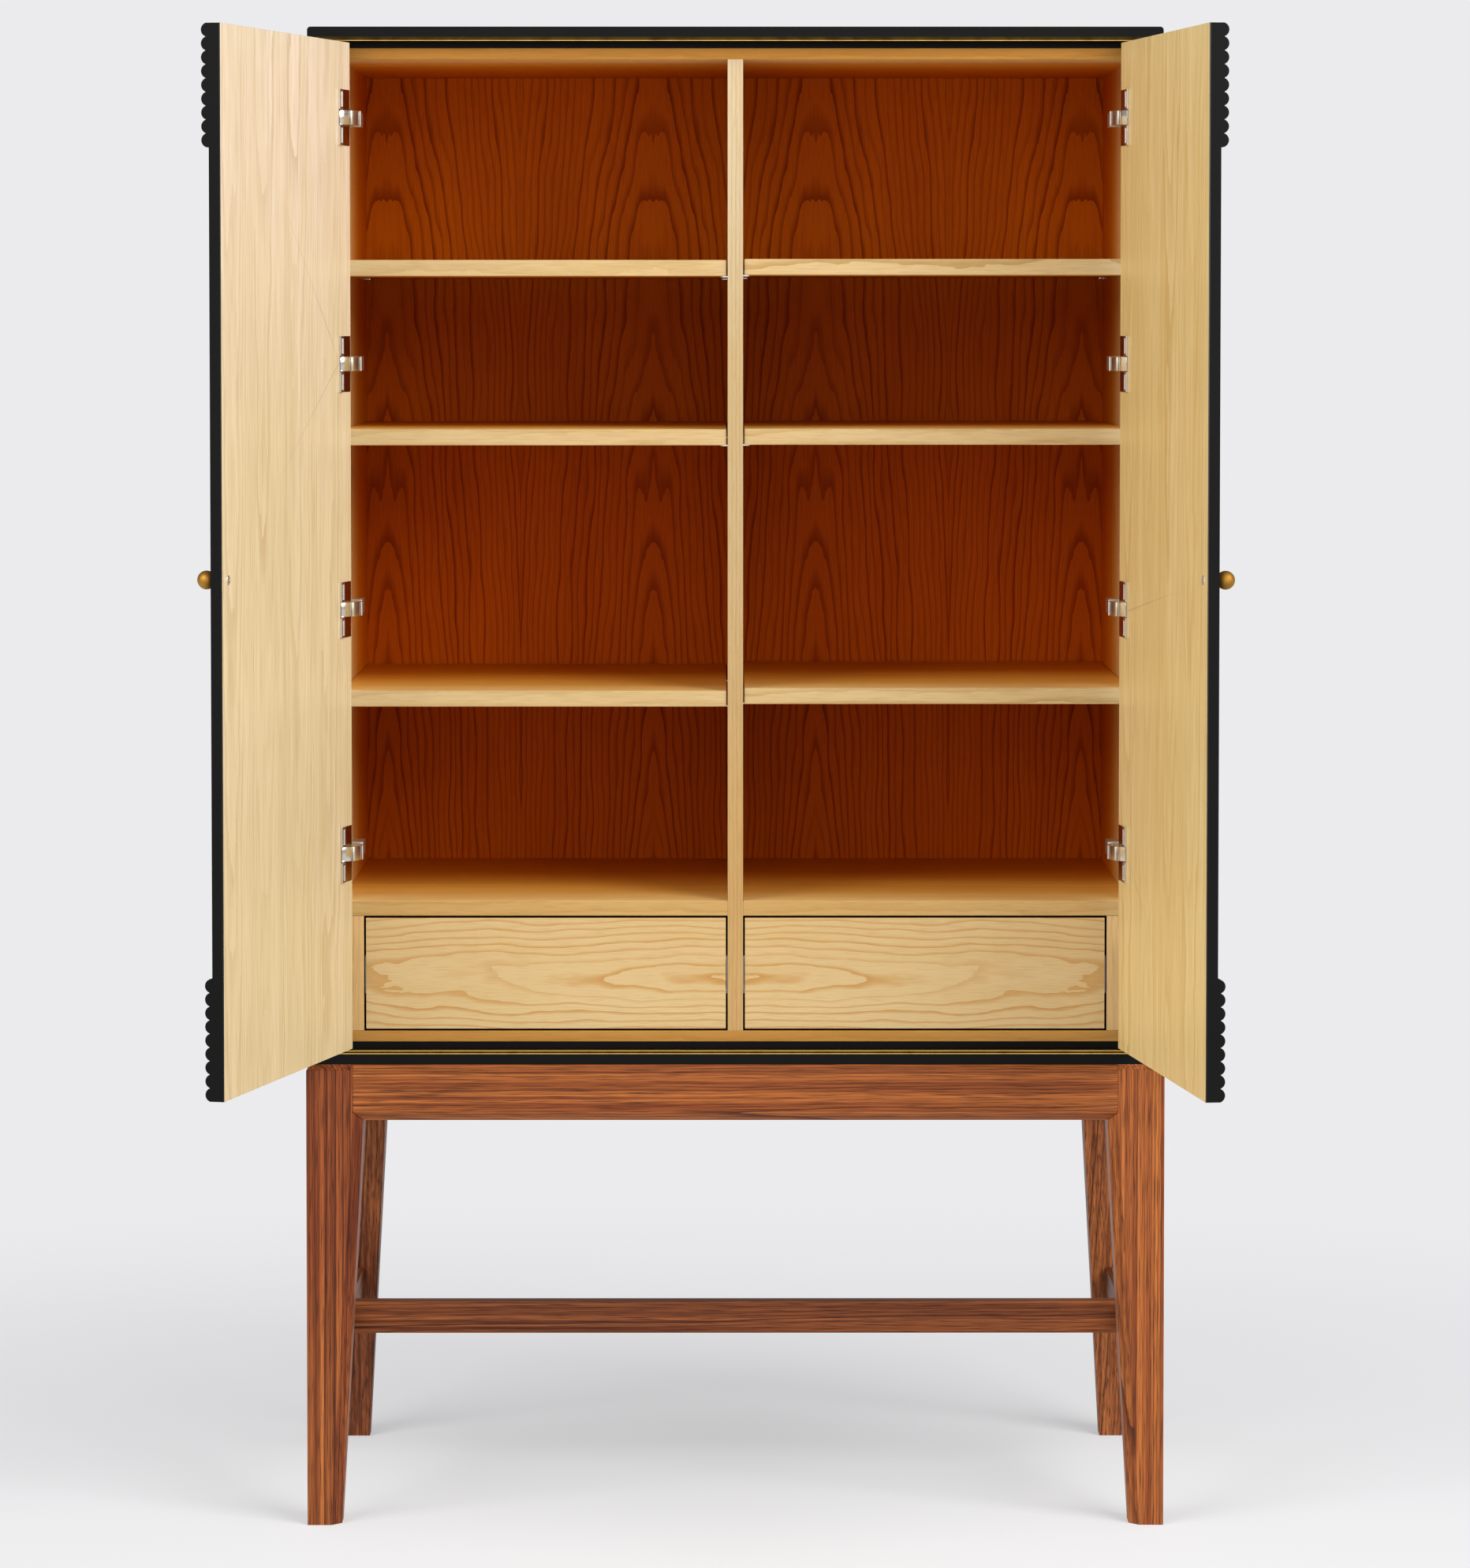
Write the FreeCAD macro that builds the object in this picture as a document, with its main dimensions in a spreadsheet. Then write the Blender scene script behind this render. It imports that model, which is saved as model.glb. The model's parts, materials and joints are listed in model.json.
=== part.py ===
import FreeCAD, Part
import os
import re

import Sketcher
from FreeCAD import Rotation, Vector

doc = FreeCAD.newDocument("cabinet_on_stand")

# Every size in mm. The case front is the plane y = 0, x = 0 is the middle and z = 0 the floor.
SIZES = {
    "stand_h": 546, "overhang": 5,
    "foot_w": 40, "leg_top_w": 66.5, "leg_chamfer": 12, "apron_h": 67, "apron_t": 24,
    "apron_bevel": 10.5, "edge_bevel": 5, "edge_bevel_h": 7,
    "rail_up": 178.5, "rail_h": 39.5, "rail_t": 22, "rail_inset": 11,
    "case_w": 1000, "case_d": 580, "case_h": 1217, "lip": 12, "brass": 4.5, "brass_d": 6,
    "recess_d": 24, "wall_t": 24, "back_t": 8, "corner_r": 4,
    "liner_t": 13, "liner_side_t": 10, "liner_back_t": 6, "divider_t": 18,
    "deck_up": 190.6, "deck_t": 17.6, "packer_t": 28,
    "shelf_t": 18.6, "shelf_gap": 1.5, "shelf_set": 4,
    "shelf_high_l": 926.7, "shelf_mid_l": 727.8, "shelf_low_l": 420,
    "shelf_high_r": 927.9, "shelf_mid_r": 728.4, "shelf_low_r": 423,
    "peg_r": 2.5, "peg_in": 7, "peg_out": 9, "peg_w": 12, "peg_t": 1.5, "peg_slack": 0.05,
    "peg_drop": 3, "peg_edge": 36,
    "drawer_gap": 2.3, "drawer_front_t": 18, "drawer_side_t": 12, "drawer_depth": 470,
    "drawer_lift": 10, "drawer_drop": 17, "drawer_bottom_t": 6, "runner_w": 12.7,
    "runner_h": 45, "runner_len": 450, "runner_wall": 2, "runner_lip": 6, "runner_play": 0.5,
    "runner_up": 42,
    "door_gap": 2.3, "side_gap": 1.5, "meet_gap": 1, "rest_gap": 2, "door_t": 12, "lining_t": 1.5,
    "axis_in": 24.8, "axis_out": 2,
    "band_t": 3.4, "reed_pitch": 15, "reed_r": 7.9, "reed_sink": 2.9,
    "knob_r": 10.4, "knob_off": 11, "knob_edge": 20, "knob_up": 572, "stem_r": 5.5,
    "screw_r": 2, "screw_slack": 0.05, "screw_head_r": 5.5, "screw_head_t": 2, "screw_bite": 6,
    "screw_short": 0.2, "hinge_low": 232, "hinge_high": 87.9,
    "cup_edge": 28.8, "cup_r": 17.5, "cup_d": 11, "flange_h": 65, "flange_t": 1.2,
    "flange_w": 42, "flange_edge": 4.8, "pocket_edge": 27.3, "pocket_w": 16, "pocket_d": 7.6,
    "leaf_out": 40, "leaf_from": 29, "leaf_span": 43, "leaf_t": 1.5, "leaf_play": 0.25, "leaf_sink": 3,
    "link_h": 16.6, "link_play": 0.1, "arm_w": 26, "arm_y": 40.5, "arm_d": 45, "arm_reach": 11,
    "arm_root_w": 10, "plate_t": 3, "plate_h": 50,
    "open_left": 103.3, "open_right": 97.6,
}
REEDS = 9
HINGES = 4

sheet = doc.addObject("Spreadsheet::Sheet", "Sizes")
for row, (name, value) in enumerate(SIZES.items(), start=1):
    sheet.set(f"A{row}", name)
    sheet.set(f"B{row}", str(value))
    sheet.setAlias(f"B{row}", name)
doc.recompute()


def full(text):
    """An expression with each size's name led by the name of its sheet."""
    return re.sub(r"[a-z][a-z_]+", lambda m: f"Sizes.{m[0]}" if m[0] in SIZES else m[0], str(text))


def tie(thing, **bound):
    """Ties properties to expressions; a double underscore stands for a point in the path."""
    for path, text in bound.items():
        thing.setExpression(path.replace("__", "."), full(text))
    return thing


def move(thing, x="0", y="0", z="0", turn=None):
    """Ties a place, and a turn about Z where one is given."""
    if turn is not None:
        thing.Placement.Rotation = Rotation(Vector(0, 0, 1), 1)
        tie(thing, Placement__Rotation__Angle=turn)
    return tie(thing, Placement__Base__x=x, Placement__Base__y=y, Placement__Base__z=z)


def box(x, y, z, length, width, height):
    return move(tie(doc.addObject("Part::Box", "box"), Length=length, Width=width, Height=height), x, y, z)


def rod(x, y, z, radius, height, along, angle="360"):
    """A round bar from a point, along one axis; a part turn starts on the X axis."""
    thing = doc.addObject("Part::Cylinder", "rod")
    thing.Placement.Rotation = Rotation(Vector(0, 0, 1), Vector(*along))
    return move(tie(thing, Radius=radius, Height=height, Angle=angle), x, y, z)


def fuse(things):
    thing = doc.addObject("Part::MultiFuse", "joined")
    thing.Shapes = things
    return thing


def cut(base, tool):
    thing = doc.addObject("Part::Cut", "cut")
    thing.Base, thing.Tool = base, tool
    return thing


def group(things):
    thing = doc.addObject("Part::Compound", "group")
    thing.Links = things
    return thing


def mirror(source):
    thing = doc.addObject("Part::Mirroring", "mirrored")
    thing.Source, thing.Normal = source, Vector(1, 0, 0)
    return thing


def profile(points, turn, along, length):
    """A solid drawn as a closed outline, with each corner tied to the sheet, and pulled along one axis."""
    sketch = doc.addObject("Sketcher::SketchObject", "outline")
    sketch.Placement.Rotation = turn
    rough = [Vector(*(float(tie_value(t)) for t in p), 0) for p in points]
    count = len(points)
    for n in range(count):
        sketch.addGeometry(Part.LineSegment(rough[n], rough[(n + 1) % count]))
    for n in range(count):
        sketch.addConstraint(Sketcher.Constraint("Coincident", n, 2, (n + 1) % count, 1))
    for n, (across, up) in enumerate(points):
        for kind, axis, text in (("DistanceX", -2, across), ("DistanceY", -1, up)):
            if text == "0":
                sketch.addConstraint(Sketcher.Constraint("PointOnObject", n, 1, axis))
            else:
                at = sketch.addConstraint(Sketcher.Constraint(kind, -1, 1, n, 1, float(tie_value(text))))
                sketch.setExpression(f"Constraints[{at}]", full(text))
    solid = doc.addObject("Part::Extrusion", "pulled")
    solid.Base, solid.DirMode, solid.Dir, solid.Solid = sketch, "Custom", Vector(*along), True
    return tie(solid, LengthFwd=length)


def tie_value(text):
    """What an expression comes to now, for the first rough drawing of an outline."""
    return sheet.evalExpression(full(text).replace("Sizes.", ""))


FRONT = Rotation(Vector(1, 0, 0), 90)
SIDE = Rotation(Vector(1, 1, 1), 120)
UP, INTO, OUT, ACROSS = (0, 0, 1), (0, 1, 0), (0, -1, 0), (1, 0, 0)

stand_w, stand_d = "(case_w + 2 * overhang)", "(case_d + 2 * overhang)"
nodes = []


def node(label, source, **place):
    """A finished sub-part, moved into the row's frame, whose origin is under the front left foot."""
    thing = group([source])
    thing.Label = label
    move(
        thing,
        f"({stand_w} - foot_w) / 2 + ({place.get('x', '0')})",
        f"overhang - foot_w / 2 + ({place.get('y', '0')})",
        "0",
        place.get("turn"),
    )
    nodes.append(thing)
    return thing


# Stand: four tapered legs, turned copies of one shape, with a chamfer on each outer face's inner arris.
shoulder = "(leg_top_w - leg_chamfer)"
apron_z = "(stand_h - apron_h)"
leg_outline = [
    ("0", "0"), ("foot_w", "0"), ("leg_top_w", apron_z), (shoulder, f"{apron_z} + apron_bevel"),
    (shoulder, "stand_h"), ("edge_bevel", "stand_h"), ("0", "stand_h - edge_bevel_h"),
]
corners = {
    "front_left": (f"-{stand_w} / 2", "-overhang", 0),
    "front_right": (f"{stand_w} / 2", "-overhang", 90),
    "rear_right": (f"{stand_w} / 2", f"{stand_d} - overhang", 180),
    "rear_left": (f"-{stand_w} / 2", f"{stand_d} - overhang", 270),
}
legs = {}
for corner, (x, y, turn) in corners.items():
    blank = doc.addObject("Part::MultiCommon", "leg_blank")
    blank.Shapes = [
        profile(leg_outline, FRONT, (0, 1, 0), "leg_top_w"),
        profile(leg_outline, SIDE, (1, 0, 0), "leg_top_w"),
    ]
    doc.recompute()
    arrises = []
    for number, edge in enumerate(blank.Shape.Edges, start=1):
        low, high = sorted((v.Point for v in edge.Vertexes), key=lambda p: p.z)
        on_outer_face = min(low.x, low.y) < 0.001 and min(high.x, high.y) < 0.001
        if on_outer_face and low.z < 0.001 < high.z and max(low.x, low.y) > 0.001:
            arrises.append((number, SIZES["leg_chamfer"], SIZES["leg_chamfer"]))
    leg = doc.addObject("Part::Chamfer", "leg_cut")
    leg.Base, leg.Edges = blank, arrises
    legs[corner] = move(leg, x, y, "0", turn)
    node(f"leg_{corner}", leg)

aprons = {
    "front": (f"-{stand_w} / 2 + {shoulder}", "-overhang", 0, stand_w),
    "right": (f"{stand_w} / 2", f"-overhang + {shoulder}", 90, stand_d),
    "rear": (f"{stand_w} / 2 - {shoulder}", f"{stand_d} - overhang", 180, stand_w),
    "left": (f"-{stand_w} / 2", f"{stand_d} - overhang - {shoulder}", 270, stand_d),
}
for name, (x, y, turn, across) in aprons.items():
    length = f"({across} - 2 * {shoulder})"
    rail = doc.addObject("Part::MultiCommon", "apron")
    rail.Shapes = [
        profile(
            [("0", "apron_bevel"), ("leg_chamfer", "0"), (f"{length} - leg_chamfer", "0"),
             (length, "apron_bevel"), (length, "apron_h"), ("0", "apron_h")],
            FRONT, (0, 1, 0), "apron_t",
        ),
        profile(
            [("0", "apron_bevel"), ("leg_chamfer", "0"), ("apron_t", "0"), ("apron_t", "apron_h"),
             ("edge_bevel", "apron_h"), ("0", "apron_h - edge_bevel_h")],
            SIDE, (1, 0, 0), length,
        ),
    ]
    node(f"apron_{name}", move(rail, x, y, apron_z, turn))

# The H of stretchers. Each side one runs leg to leg and is scribed to their slope.
rail_in = f"({stand_w} / 2 - rail_inset - rail_t)"
for name, x in (("left", f"-{rail_in} - rail_t"), ("right", rail_in)):
    rail = box(x, "0", "rail_up", "rail_t", "case_d", "rail_h")
    node(f"stretcher_{name}", cut(rail, fuse([legs[f"front_{name}"], legs[f"rear_{name}"]])))
node("stretcher_cross", box(
    f"-{rail_in}", "(case_d - rail_t) / 2", "rail_up", f"2 * {rail_in}", "rail_t", "rail_h"))

# Case: four lacquered walls with a door recess round the mouth and a seat for the brass line.
# Its four outer corners are rounded.
case_top = "(stand_h + case_h)"
mouth = fuse([
    box("-case_w / 2 + lip + brass", "0", "stand_h + lip + brass",
        "case_w - 2 * (lip + brass)", "recess_d", "case_h - 2 * (lip + brass)"),
    box("-case_w / 2 + lip", "0", "stand_h + lip", "case_w - 2 * lip", "brass_d", "case_h - 2 * lip"),
])
inside_h = "(case_h - 2 * wall_t)"
for name, z, outer in (("top", f"{case_top} - wall_t", "ZMax"), ("bottom", "stand_h", "ZMin")):
    board = box("-case_w / 2", "0", z, "case_w", "case_d", "wall_t")
    doc.recompute()
    outer_edges = []
    for number, edge in enumerate(board.Shape.Edges, start=1):
        runs_back = edge.BoundBox.YLength > SIZES["case_d"] / 2
        if runs_back and abs(edge.BoundBox.ZMin - getattr(board.Shape.BoundBox, outer)) < 0.001:
            outer_edges.append((number, SIZES["corner_r"], SIZES["corner_r"]))
    rounded = doc.addObject("Part::Fillet", "rounded")
    rounded.Base, rounded.Edges = board, outer_edges
    node(f"case_{name}", cut(rounded, mouth))
for name, x in (("left", "-case_w / 2"), ("right", "case_w / 2 - wall_t")):
    node(f"case_{name}", cut(box(x, "0", "stand_h + wall_t", "wall_t", "case_d", inside_h), mouth))
room_x = "(case_w / 2 - wall_t)"
node("case_back", box(
    f"-{room_x}", "case_d - back_t", "stand_h + wall_t", f"2 * {room_x}", "back_t", inside_h))
line_h = "case_h - 2 * (lip + brass)"
node("brass_line", group([
    box("-case_w / 2 + lip", "0", "stand_h + lip", "case_w - 2 * lip", "brass_d", "brass"),
    box("-case_w / 2 + lip", "0", f"{case_top} - lip - brass", "case_w - 2 * lip", "brass_d", "brass"),
    box("-case_w / 2 + lip", "0", "stand_h + lip + brass", "brass", "brass_d", line_h),
    box("case_w / 2 - lip - brass", "0", "stand_h + lip + brass", "brass", "brass_d", line_h),
]))

# Lining: the pale boards that the inside is made of, flush at the back of the door recess.
low_z, high_z = "(stand_h + wall_t)", f"({case_top} - wall_t)"
floor_z = f"({low_z} + liner_t)"
bay_h = f"({inside_h} - 2 * liner_t)"
deep = "(case_d - recess_d - back_t - liner_back_t)"
bay_x = f"({room_x} - liner_side_t)"
bay_w = f"({bay_x} - divider_t / 2)"
node("liner_top", box(f"-{room_x}", "recess_d", f"{high_z} - liner_t", f"2 * {room_x}", deep, "liner_t"))
node("liner_bottom", box(f"-{room_x}", "recess_d", low_z, f"2 * {room_x}", deep, "liner_t"))
back_y = "(case_d - back_t - liner_back_t)"
half_back = box("0", back_y, floor_z, bay_x, "liner_back_t", bay_h)
node("liner_back", group([half_back, mirror(half_back)]))

# Shelf pegs: a round pin in the wall and a flat tab that the shelf lies on, four to each shelf.
pegs, holes = [], {"left": [], "right": [], "divider": []}
for side, sign in (("left", "-"), ("right", "")):
    for level in ("high", "mid", "low"):
        shelf_z = f"(stand_h + shelf_{level}_{side[0]})"
        for y in ("recess_d + peg_edge", f"recess_d + {deep} - peg_edge"):
            for wall, face in (("divider", "divider_t / 2"), (side, bay_x)):
                out = 1 if (wall == "divider") == (side == "right") else -1
                start = f"{sign}({face}) - {out} * peg_in"
                pin_z = f"{shelf_z} - peg_drop"
                tab_x = f"{sign}({face})" if out > 0 else f"{sign}({face}) - peg_out"
                pegs.append(fuse([
                    rod(start, y, pin_z, "peg_r", "peg_in + peg_out", (out, 0, 0)),
                    box(tab_x, f"{y} - peg_w / 2", f"{shelf_z} - peg_t", "peg_out", "peg_w", "peg_t"),
                ]))
                holes[wall].append(rod(
                    start, y, pin_z, "peg_r + peg_slack", "peg_in + peg_out", (out, 0, 0)))
node("shelf_pegs", group(pegs))
for side, x in (("left", f"-{room_x}"), ("right", bay_x)):
    board = box(x, "recess_d", floor_z, "liner_side_t", deep, bay_h)
    node(f"liner_{side}", cut(board, fuse(holes[side])))
board = box("-divider_t / 2", "recess_d", floor_z, "divider_t", deep, bay_h)
node("divider", cut(board, fuse(holes["divider"])))

deck_z = "(stand_h + deck_up - deck_t)"
half_deck = box("divider_t / 2", "recess_d", deck_z, bay_w, deep, "deck_t")
node("decks", group([half_deck, mirror(half_deck)]))
half_packer = box(f"{bay_x} - packer_t", "recess_d", floor_z, "packer_t", "drawer_depth", f"{deck_z} - {floor_z}")
node("drawer_packers", group([half_packer, mirror(half_packer)]))
for side, x in (("left", f"-{bay_x} + shelf_gap"), ("right", "divider_t / 2 + shelf_gap")):
    for level in ("high", "mid", "low"):
        node(f"shelf_{level}_{side}", box(
            x, "recess_d + shelf_set", f"stand_h + shelf_{level}_{side[0]}", f"{bay_w} - 2 * shelf_gap",
            f"{deep} - 2 * shelf_set", "shelf_t"))

# Drawers: a plain front that stands in its opening, and a box hung on a runner at each side.
mouth_w = f"({bay_w} - packer_t)"
front_z, front_h = f"({floor_z} + drawer_gap)", f"({deck_z} - {floor_z} - 2 * drawer_gap)"
box_x, box_w = "(divider_t / 2 + runner_w)", f"({mouth_w} - 2 * runner_w)"
box_y = "(recess_d + drawer_front_t)"
side_z, side_h = f"({front_z} + drawer_lift)", f"({front_h} - drawer_lift - drawer_drop)"
box_d = "(drawer_depth - drawer_front_t)"
front = box("divider_t / 2 + drawer_gap", "recess_d", front_z, f"{mouth_w} - 2 * drawer_gap",
            "drawer_front_t", front_h)
sides = group([
    box(box_x, box_y, side_z, "drawer_side_t", box_d, side_h),
    box(f"{box_x} + {box_w} - drawer_side_t", box_y, side_z, "drawer_side_t", box_d, side_h),
])
within = f"({box_w} - 2 * drawer_side_t)"
rear = box(f"{box_x} + drawer_side_t", f"{box_y} + {box_d} - drawer_side_t", side_z,
           within, "drawer_side_t", side_h)
base = box(f"{box_x} + drawer_side_t", box_y, f"{side_z} + drawer_lift",
           within, f"{box_d} - drawer_side_t", "drawer_bottom_t")

# Runners: a channel on the wall, and a bar on the drawer that runs in it with play all round.
channels, bars = [], []
far_x = f"({bay_x} - packer_t)"
channel_w, bar_w = "(runner_w - runner_play)", "(runner_w - runner_wall - runner_play)"
runner_z = f"({floor_z} + runner_up)"
slot_z, slot_h = f"({runner_z} + runner_lip)", "(runner_h - 2 * runner_lip)"
for channel_x, slot_x, bar_x in (
    ("divider_t / 2", "divider_t / 2 + runner_wall", "divider_t / 2 + runner_wall + runner_play"),
    (f"{far_x} - {channel_w}", f"{far_x} - {channel_w} - runner_wall", f"{far_x} - runner_w"),
):
    channels.append(cut(
        box(channel_x, box_y, runner_z, channel_w, "runner_len", "runner_h"),
        box(slot_x, box_y, slot_z, channel_w, "runner_len", slot_h)))
    bars.append(box(
        bar_x, box_y, f"{slot_z} + runner_play", bar_w, "runner_len", f"{slot_h} - 2 * runner_play"))
channel_pair, bar_pair = group(channels), group(bars)
node("runner_channels", group([channel_pair, mirror(channel_pair)]))
for part, thing in (("front", front), ("sides", sides), ("back", rear), ("bottom", base), ("bars", bar_pair)):
    node(f"drawer_{part}_right", thing)
    node(f"drawer_{part}_left", mirror(thing))

# Door, drawn shut about its hinge axis for the left side: x along the door, y into the case.
low, high = "(stand_h + lip + brass + door_gap)", f"({case_top} - lip - brass - door_gap)"
door_h = f"({high} - {low})"
hinge_edge = "(axis_in - lip - brass - side_gap)"
door_w = "(case_w / 2 - lip - brass - side_gap - meet_gap)"
inner_face = "(recess_d - rest_gap + axis_out)"
face = f"({inner_face} - lining_t - door_t)"
band_h = f"({REEDS} * reed_pitch)"
start_x = f"-{hinge_edge}"
board_parts = [box(start_x, face, low, door_w, "door_t", door_h)]
for band_z in (low, f"({high} - {band_h})"):
    board_parts.append(box(start_x, f"{face} - band_t", band_z, door_w, "band_t", band_h))
    for n in range(REEDS):
        board_parts.append(rod(
            start_x, f"{face} - band_t + reed_sink", f"{band_z} + {n + 0.5} * reed_pitch",
            "reed_r", door_w, ACROSS))
knob_x, knob_z = f"({door_w} - {hinge_edge} - knob_edge)", f"({low} + knob_up)"
cup_x = f"(cup_edge - {hinge_edge})"
hinge_step = f"(({door_h} - hinge_low - hinge_high) / {HINGES - 1})"
hinge_z = [f"({low} + hinge_low + {n} * {hinge_step})" for n in range(HINGES)]
bores = fuse(
    [rod(cup_x, f"{inner_face} - cup_d", z, "cup_r", "2 * cup_d", INTO) for z in hinge_z]
    + [rod(knob_x, "0", knob_z, "screw_r + screw_slack", f"2 * {inner_face}", INTO)])
board = doc.addObject("Part::MultiCommon", "trimmed")
board.Shapes = [
    cut(fuse(board_parts), bores),
    box(start_x, "0", low, door_w, inner_face, door_h),
]
lining = cut(box(start_x, f"{inner_face} - lining_t", low, door_w, "lining_t", door_h), bores)
ball = doc.addObject("Part::Sphere", "ball")
move(tie(ball, Radius="knob_r"), knob_x, f"{face} - knob_off", knob_z)
knob = cut(
    fuse([ball, rod(knob_x, face, knob_z, "stem_r", "knob_off", OUT)]),
    rod(knob_x, face, knob_z, "screw_r + screw_slack", "screw_bite", OUT))
screw = fuse([
    rod(knob_x, inner_face, knob_z, "screw_head_r", "screw_head_t", INTO),
    rod(knob_x, inner_face, knob_z, "screw_r", "door_t + lining_t + screw_bite - screw_short", OUT),
])

# Hinges: leaves bent round the door's axis, one inside another, that slide out as the door opens.
# The outermost is on the arm on the wall, the innermost on the cup in the door, and two run between.
def leaf(centre, layer, sink="0"):
    """A leaf, counted from outside: a piece of a ring about the door's axis."""
    outer, low_z = f"(leaf_out - {layer} * (leaf_t + leaf_play))", f"{centre} - link_h / 2"
    sector = doc.addObject("Part::Cylinder", "sector")
    tie(sector, Radius=outer, Height="link_h", Angle=f"leaf_span + {sink}")
    move(sector, z=low_z, turn=f"leaf_from - {sink}")
    return cut(sector, rod("0", "0", low_z, f"{outer} - leaf_t", "link_h", UP))


def hinge_arm(z):
    """The plate on the wall, the arm on it, and the arm's own leaf on a root that is hollowed for the rest."""
    wall = "(wall_t + liner_side_t - axis_in)"
    low_z = f"{z} - link_h / 2"
    root = cut(
        box(wall, "arm_y - arm_reach", low_z, "arm_root_w", "2 * arm_reach", "link_h"),
        rod("0", "0", low_z, "leaf_out - leaf_t", "link_h", UP))
    return fuse([
        leaf(z, 0),
        root,
        box(wall, "arm_y", low_z, "arm_w", "arm_d", "link_h"),
        box(wall, "arm_y", f"{z} - plate_h / 2", "plate_t", "arm_d", "plate_h"),
    ])


def hinge_cup(z):
    """The cup and its flange, with a pocket that the leaves fold into, and the door's own leaf in its floor."""
    shell = cut(
        fuse([
            rod(cup_x, f"{inner_face} - cup_d", z, "cup_r", "cup_d + flange_t / 2", INTO),
            box(f"flange_edge - {hinge_edge}", inner_face, f"{z} - flange_h / 2",
                "flange_w", "flange_t", "flange_h"),
        ]),
        box(f"pocket_edge - {hinge_edge}", f"{inner_face} - pocket_d", f"{z} - link_h / 2 - link_play",
            "pocket_w", "2 * pocket_d", "link_h + 2 * link_play"))
    return fuse([shell, leaf(z, 3, "leaf_sink")])


swinging = {
    "door_board": board, "door_lining": lining, "knob": knob, "knob_screw": screw,
    "hinge_cups": group([hinge_cup(z) for z in hinge_z]),
}
axis_x = "(case_w / 2 - axis_in)"
axis = {"left": {"x": f"-{axis_x}", "y": "-axis_out"}, "right": {"x": axis_x, "y": "-axis_out"}}
for name, thing in swinging.items():
    node(f"{name}_left", thing, turn="-open_left", **axis["left"])
    node(f"{name}_right", mirror(thing), turn="open_right", **axis["right"])
for name, thing, share in (
    ("hinge_arms", group([hinge_arm(z) for z in hinge_z]), "0"),
    ("hinge_leaves_first", group([leaf(z, 1) for z in hinge_z]), "1 / 3"),
    ("hinge_leaves_second", group([leaf(z, 2) for z in hinge_z]), "2 / 3"),
):
    node(f"{name}_left", thing, turn=f"-open_left * {share}", **axis["left"])
    node(f"{name}_right", mirror(thing), turn=f"open_right * {share}", **axis["right"])

doc.recompute()
for thing in doc.Objects:
    bad = [state for state in thing.State if state in ("Invalid", "Error")]
    if bad:
        raise RuntimeError(f"{thing.Name} ({thing.Label}) is {bad}")
os.makedirs("parts", exist_ok=True)
for thing in nodes:
    if thing.Shape.isNull() or not thing.Shape.isValid() or not thing.Shape.Solids:
        raise RuntimeError(f"{thing.Label} has no valid solid")
    thing.Shape.exportStep(f"parts/{thing.Label}.step")
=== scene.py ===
import json
import math

import bpy
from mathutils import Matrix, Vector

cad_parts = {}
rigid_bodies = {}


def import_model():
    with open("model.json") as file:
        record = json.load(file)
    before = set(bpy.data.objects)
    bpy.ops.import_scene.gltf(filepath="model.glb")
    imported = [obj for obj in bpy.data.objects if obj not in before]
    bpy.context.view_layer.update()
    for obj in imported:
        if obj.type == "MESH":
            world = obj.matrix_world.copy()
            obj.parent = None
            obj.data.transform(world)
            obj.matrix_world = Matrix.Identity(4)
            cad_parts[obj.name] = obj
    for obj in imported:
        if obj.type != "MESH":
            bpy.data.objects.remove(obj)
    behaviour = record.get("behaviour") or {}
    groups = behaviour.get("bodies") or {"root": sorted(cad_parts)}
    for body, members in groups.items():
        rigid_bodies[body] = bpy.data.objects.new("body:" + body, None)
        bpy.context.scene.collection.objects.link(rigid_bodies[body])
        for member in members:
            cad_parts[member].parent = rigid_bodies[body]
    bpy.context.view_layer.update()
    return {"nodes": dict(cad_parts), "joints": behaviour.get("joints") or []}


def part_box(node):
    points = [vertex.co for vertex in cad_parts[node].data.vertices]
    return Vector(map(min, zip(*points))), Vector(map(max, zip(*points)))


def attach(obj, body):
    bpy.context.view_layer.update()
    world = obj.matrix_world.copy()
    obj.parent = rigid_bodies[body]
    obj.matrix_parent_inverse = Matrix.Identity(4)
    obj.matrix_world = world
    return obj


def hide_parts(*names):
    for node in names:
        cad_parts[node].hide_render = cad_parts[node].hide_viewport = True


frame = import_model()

nodes = frame["nodes"]

# Stand: four tapered legs, four aprons and an H of stretchers in solid black walnut.
# The boards are planed, sanded and oiled, so the figure is the log's own rings cut at a slant,
# with short open pores along the grain. They are tenoned together and their arrises are eased.
MM = 0.001
STAND_EASE, WELD, SHARP = 1.2, 0.001, 35
# How squarely a face looks in a direction, as the cosine of the angle between them.
LOOSELY, NEARLY, SQUARELY = 0.5, 0.7, 0.9
# Noise keeps near its middle, so only part of its range makes the patches and the pores.
PATCH_FROM, PATCH_TO, PORE_FROM, PORE_TO = 0.3, 0.7, 0.33, 0.52
SHEEN_SPREAD, GRAIN_BUMP = 0.08, 0.25
# Black for the edges of the door linings, and as painted shade in the gaps beside the drawers.
BLACK_EDGE_AND_GAP_SHADE = "100F0E"


def tone(code):
    """An sRGB hex colour as linear red, green, blue and alpha."""
    parts = [int(code[n:n + 2], 16) / 255 for n in (0, 2, 4)]
    return [c / 12.92 if c <= 0.04045 else ((c + 0.055) / 1.055) ** 2.4 for c in parts] + [1]


def add(tree, kind, inputs, **settings):
    """Adds a node and gives its outputs. An input that is a socket is linked, any other is set."""
    made = tree.nodes.new(f"ShaderNode{kind}")
    for key, value in settings.items():
        setattr(made, key, value)
    for key, value in inputs.items():
        if isinstance(value, bpy.types.NodeSocket):
            tree.links.new(value, made.inputs[key])
        else:
            made.inputs[key].default_value = value
    return made.outputs


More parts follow.
